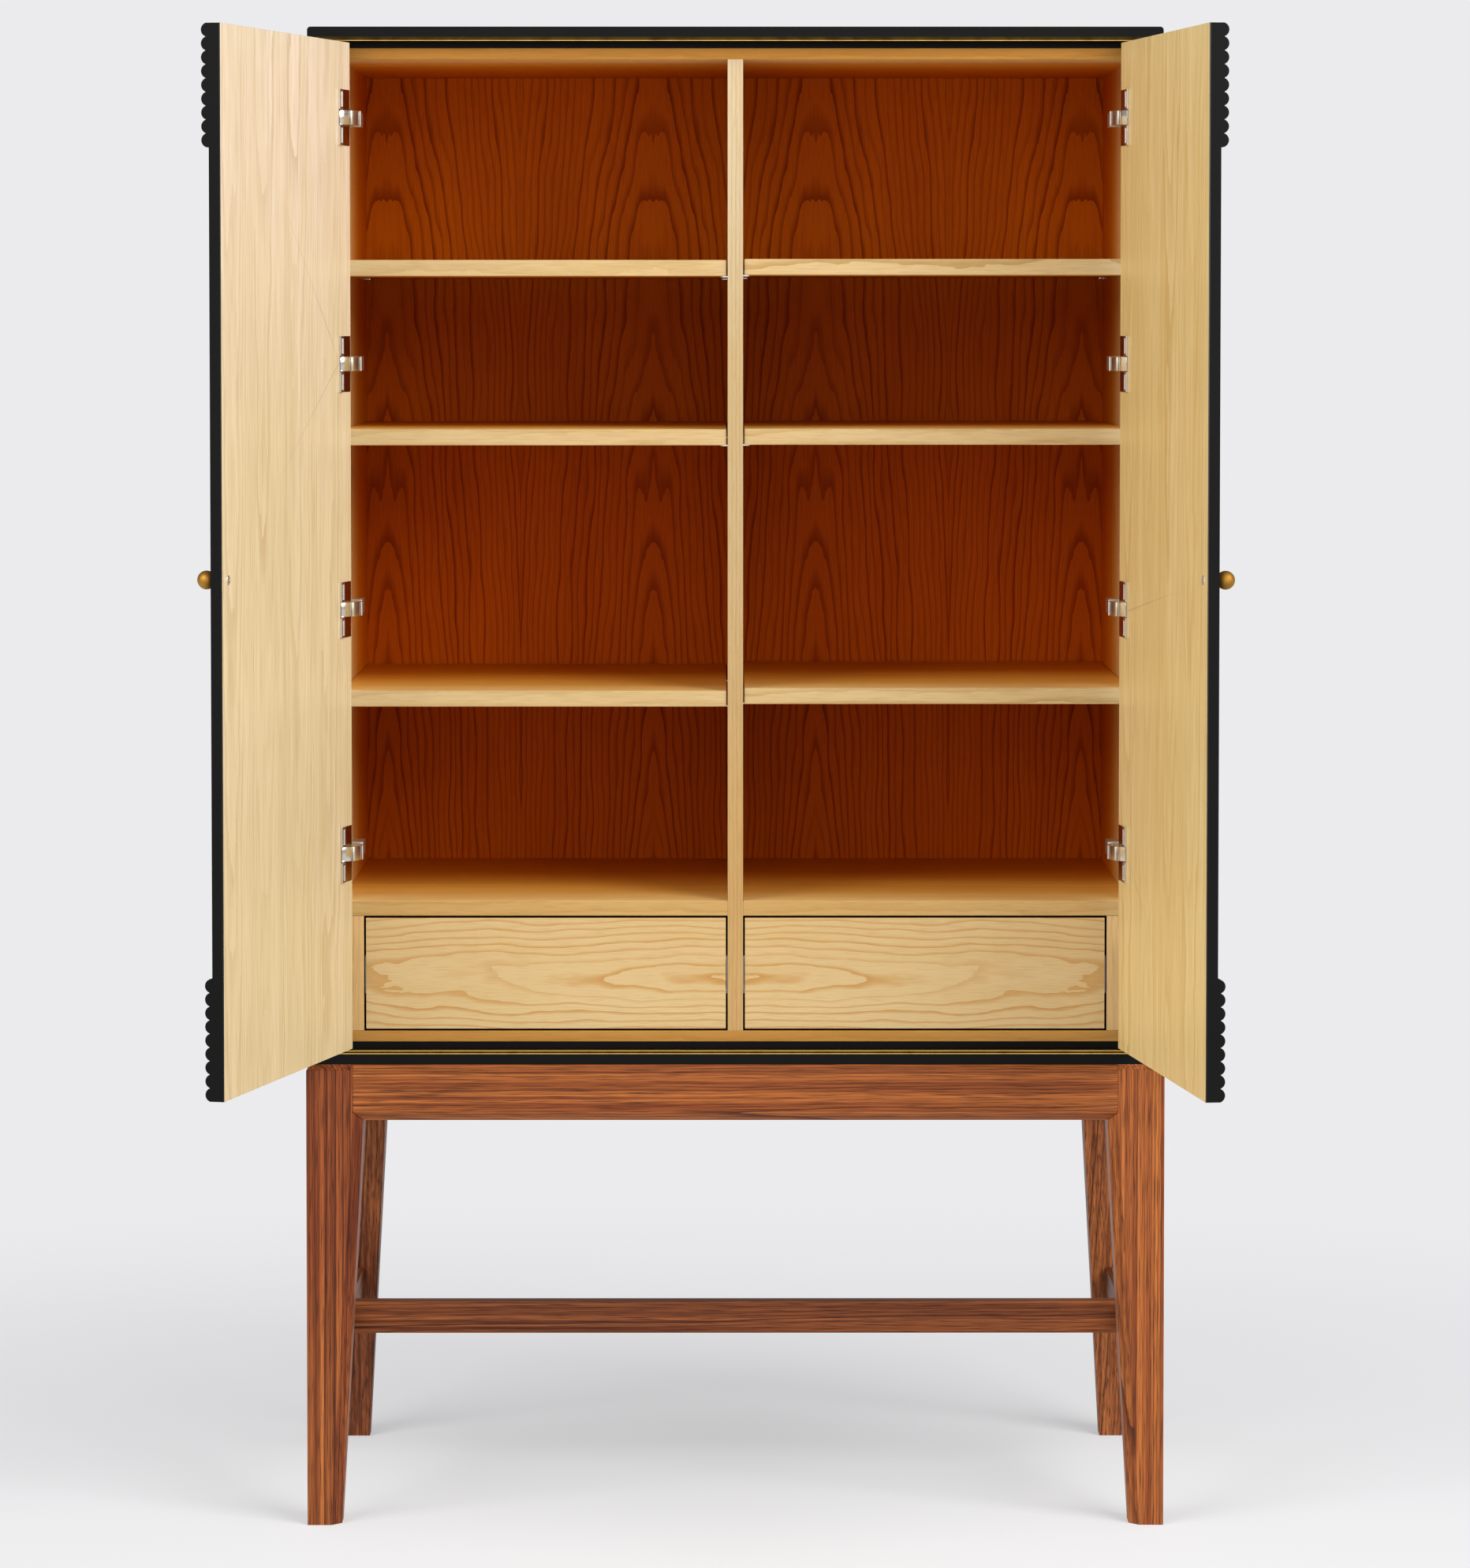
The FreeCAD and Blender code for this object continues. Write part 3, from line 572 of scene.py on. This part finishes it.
# Hinges and their screws: pressed steel in nickel plate. The cup is sunk in the door, and ribbed covers
# are clipped over the far edge of its flange above and below the arm, which lies on a plate that two
# screws hold to the wall. A pan-headed screw from inside draws the knob to the door.
HINGES, HINGE_EASE = 4, 0.45
FLANGE_Y, FLANGE_T, FLANGE_END, FLANGE_HALF = 25.2 * MM, 1.2 * MM, 40 * MM, 32.5 * MM
COVER_W, COVER_T, RIB, RIB_EASE, ARM_ROOM = 13 * MM, 1.6 * MM, 2.6 * MM, 0.25 * MM, 9.5 * MM
PLATE_HALF, PLATE_SCREW, PLATE_T, PLATE_IN = 25 * MM, 18 * MM, 3 * MM, 22 * MM
HEAD_R, HEAD_H = 3.6 * MM, 1.1 * MM
KNOB_HEAD_R, KNOB_HEAD_H = 5.5 * MM, 2 * MM
# Shares of a head's height for its rounding and the depth of its cross, and of its radius for the arms.
ROUNDING, CROSS_DEPTH, CROSS_ARM, CROSS_WIDTH = 0.45, 0.6, 0.62, 0.14


def screw_head(radius, height, at, turn, name):
    """A pan head with a cross recess. It is turned upright from the bench, then about the vertical."""
    bpy.ops.object.select_all(action="DESELECT")
    bpy.ops.mesh.primitive_cylinder_add(
        vertices=24, radius=radius, depth=height, location=(0, 0, height / 2),
    )
    piece = bpy.context.object
    piece.name = name
    pick(piece, lambda centre, normal: normal.z > SQUARELY)
    bpy.ops.mesh.bevel(offset=height * ROUNDING, segments=3)
    bpy.ops.object.mode_set(mode="OBJECT")
    arm, width, deep = radius * CROSS_ARM, radius * CROSS_WIDTH, height * CROSS_DEPTH
    for half_x, half_y in ((arm, width), (width, arm)):
        slot = block("slot", (-half_x, -half_y, height - deep), (half_x, half_y, height + deep))
        bpy.ops.object.select_all(action="DESELECT")
        bpy.context.view_layer.objects.active = piece
        recess = piece.modifiers.new("recess", "BOOLEAN")
        recess.object = slot
        bpy.ops.object.modifier_apply(modifier="recess")
        bpy.data.objects.remove(slot)
    piece.select_set(True)
    piece.location = at
    piece.rotation_euler = (-math.pi / 2, 0, turn)
    bpy.ops.object.transform_apply(location=True, rotation=True, scale=True)
    return piece


def flange_cover(near, far, low, high, pivot, turn):
    """A cover with a rib round its rim, made on the shut door's flange and then swung open with it."""
    cover = block("flange_cover", (near, FLANGE_Y, low), (far, FLANGE_Y + COVER_T, high))
    pick(cover, lambda centre, normal: normal.y > SQUARELY)
    bpy.ops.mesh.inset(thickness=RIB)
    bpy.ops.mesh.extrude_region_move(TRANSFORM_OT_translate={"value": (0, RIB_EASE - COVER_T, 0)})
    bpy.ops.mesh.select_all(action="SELECT")
    bpy.ops.mesh.bevel(offset=RIB_EASE, segments=2)
    bpy.ops.object.mode_set(mode="OBJECT")
    cover.location = (pivot[0], pivot[1], 0)
    cover.rotation_euler = (0, 0, turn)
    bpy.ops.object.transform_apply(location=True, rotation=True, scale=True)
    return cover


def fix(piece, plating, body):
    """Gives a small fitting its plating and the body it is fixed to."""
    piece.data.materials.append(plating)
    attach(piece, body)


satin_nickel, hinge_nickel = nickel("satin_nickel", 0.5), nickel("hinge_nickel", 0.34)
for side, out in (("left", 1), ("right", -1)):
    dress([f"hinge_cups_{side}"], bright_nickel, HINGE_EASE)
    moving = [f"{part}_{side}" for part in ("hinge_arms", "hinge_leaves_first", "hinge_leaves_second")]
    dress(moving, hinge_nickel, HINGE_EASE)
    pivot, turn = opened(side)
    arms_low, arms_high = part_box(f"hinge_arms_{side}")
    first, last = arms_low.z + PLATE_HALF, arms_high.z - PLATE_HALF
    heights = [first + n * (last - first) / (HINGES - 1) for n in range(HINGES)]
    near, far = sorted((out * (FLANGE_END - COVER_W), out * FLANGE_END))
    covers = [
        flange_cover(near, far, z + low, z + high, pivot, turn)
        for z in heights for low, high in ((-FLANGE_HALF, -ARM_ROOM), (ARM_ROOM, FLANGE_HALF))
    ]
    fix(join(covers, f"flange_covers_{side}"), hinge_nickel, f"{side}_door")
    wall_x = (arms_low.x if out > 0 else arms_high.x) + out * PLATE_T
    plate_y = arms_high.y - PLATE_IN
    heads = [
        screw_head(HEAD_R, HEAD_H, (wall_x, plate_y, z + up), -out * math.pi / 2, "plate_screw")
        for z in heights for up in (-PLATE_SCREW, PLATE_SCREW)
    ]
    fix(join(heads, f"plate_screws_{side}"), bright_nickel, "cabinet")
    knob_x, knob_y, knob_z = middle(f"knob_{side}")
    along_x, along_y = math.cos(turn), math.sin(turn)
    across = along_x * (knob_x - pivot[0]) + along_y * (knob_y - pivot[1])
    inner_face = FLANGE_Y - FLANGE_T
    at = (
        pivot[0] + across * along_x - inner_face * along_y,
        pivot[1] + across * along_y + inner_face * along_x,
        middle(f"knob_screw_{side}")[2],
    )
    knob_head = screw_head(KNOB_HEAD_R, KNOB_HEAD_H, at, turn, f"knob_screw_head_{side}")
    fix(knob_head, satin_nickel, f"{side}_door")
    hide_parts(f"knob_screw_{side}")

# Studio: a pale floor that runs out into the light, two broad soft lights with a weak one between
# them, and the camera. The floor is matt paint that glows in the tone of the light behind it as painted
# light, partly under the case and fully far off.
WORLD, FLOOR_PAINT = tone("EBEBED"), tone("F2F2F3")
FLOOR_R, FLOOR_Y, GLOW_NEAR, GLOW_FULL = 40, 0.3, 0.4, 2.5
WORLD_LIGHT, WORLD_SEEN = 0.42, 1
AIM_Z = 1.0
bpy.ops.object.select_all(action="DESELECT")
bpy.ops.mesh.primitive_circle_add(
    vertices=64, radius=FLOOR_R, fill_type="NGON", location=(mid_x, FLOOR_Y, 0),
)
floor = bpy.context.object
floor.name = "floor"
paint, tree, shader = new_finish("floor_paint")
shader.inputs["Base Color"].default_value = FLOOR_PAINT
shader.inputs["Roughness"].default_value = 0.7
place = add(tree, "TexCoord", {})["Object"]
away = add(tree, "VectorMath", {0: place}, operation="LENGTH")["Value"]
fading = add(
    tree, "MapRange", {"Value": away, "From Max": GLOW_FULL, "To Min": GLOW_NEAR},
    interpolation_type="SMOOTHSTEP",
)[0]
glow = add(tree, "Emission", {"Color": WORLD, "Strength": 1})[0]
surface = add(tree, "MixShader", {0: fading, 1: shader.outputs[0], 2: glow})[0]
tree.links.new(surface, tree.nodes["Material Output"].inputs["Surface"])
floor.data.materials.append(paint)

world = bpy.data.worlds.new("studio")
world.use_nodes = True
tree = world.node_tree
seen = add(tree, "LightPath", {})["Is Camera Ray"]
strength = add(tree, "MapRange", {"Value": seen, "To Min": WORLD_LIGHT, "To Max": WORLD_SEEN})[0]
tree.nodes["Background"].inputs["Color"].default_value = WORLD
tree.links.new(strength, tree.nodes["Background"].inputs["Strength"])
bpy.context.scene.world = world
bpy.context.scene.view_settings.view_transform = "Standard"
for name, spot, size, power in (
    ("light_right", (4.6, -4.6, 4.4), 4.8, 520),
    ("light_left", (-3.9, -4.8, 4.2), 4.8, 330),
    ("light_front", (0.5, -7.2, 2.8), 4, 80),
):
    bpy.ops.object.light_add(type="AREA", location=spot)
    light = bpy.context.object
    light.name = name
    light.data.size = size
    light.data.energy = power
    to_x, to_y, to_z = mid_x - spot[0], -spot[1], AIM_Z - spot[2]
    pitch = math.pi / 2 + math.atan2(to_z, math.hypot(to_x, to_y))
    light.rotation_euler = (pitch, 0, -math.atan2(to_x, to_y))

# Camera: the photograph's own viewpoint, worked out from the converging edges of the case and doors.
# It stands nearly seven metres off at eye height, tilted down a little, with a long lens.
PHOTO_H, FOCAL_PX = 1988, 7382.4
TILT, YAW = 0.0481, 0.0018
camera_data = bpy.data.cameras.new("camera")
camera_data.sensor_width = 36
camera_data.lens = FOCAL_PX * camera_data.sensor_width / PHOTO_H
camera_data.shift_y = -0.12
camera = bpy.data.objects.new("camera", camera_data)
bpy.context.scene.collection.objects.link(camera)
camera.location = (0.47226, -6.83318, 1.42618)
camera.rotation_euler = (math.pi / 2 - TILT, 0, -YAW)
bpy.context.scene.camera = camera
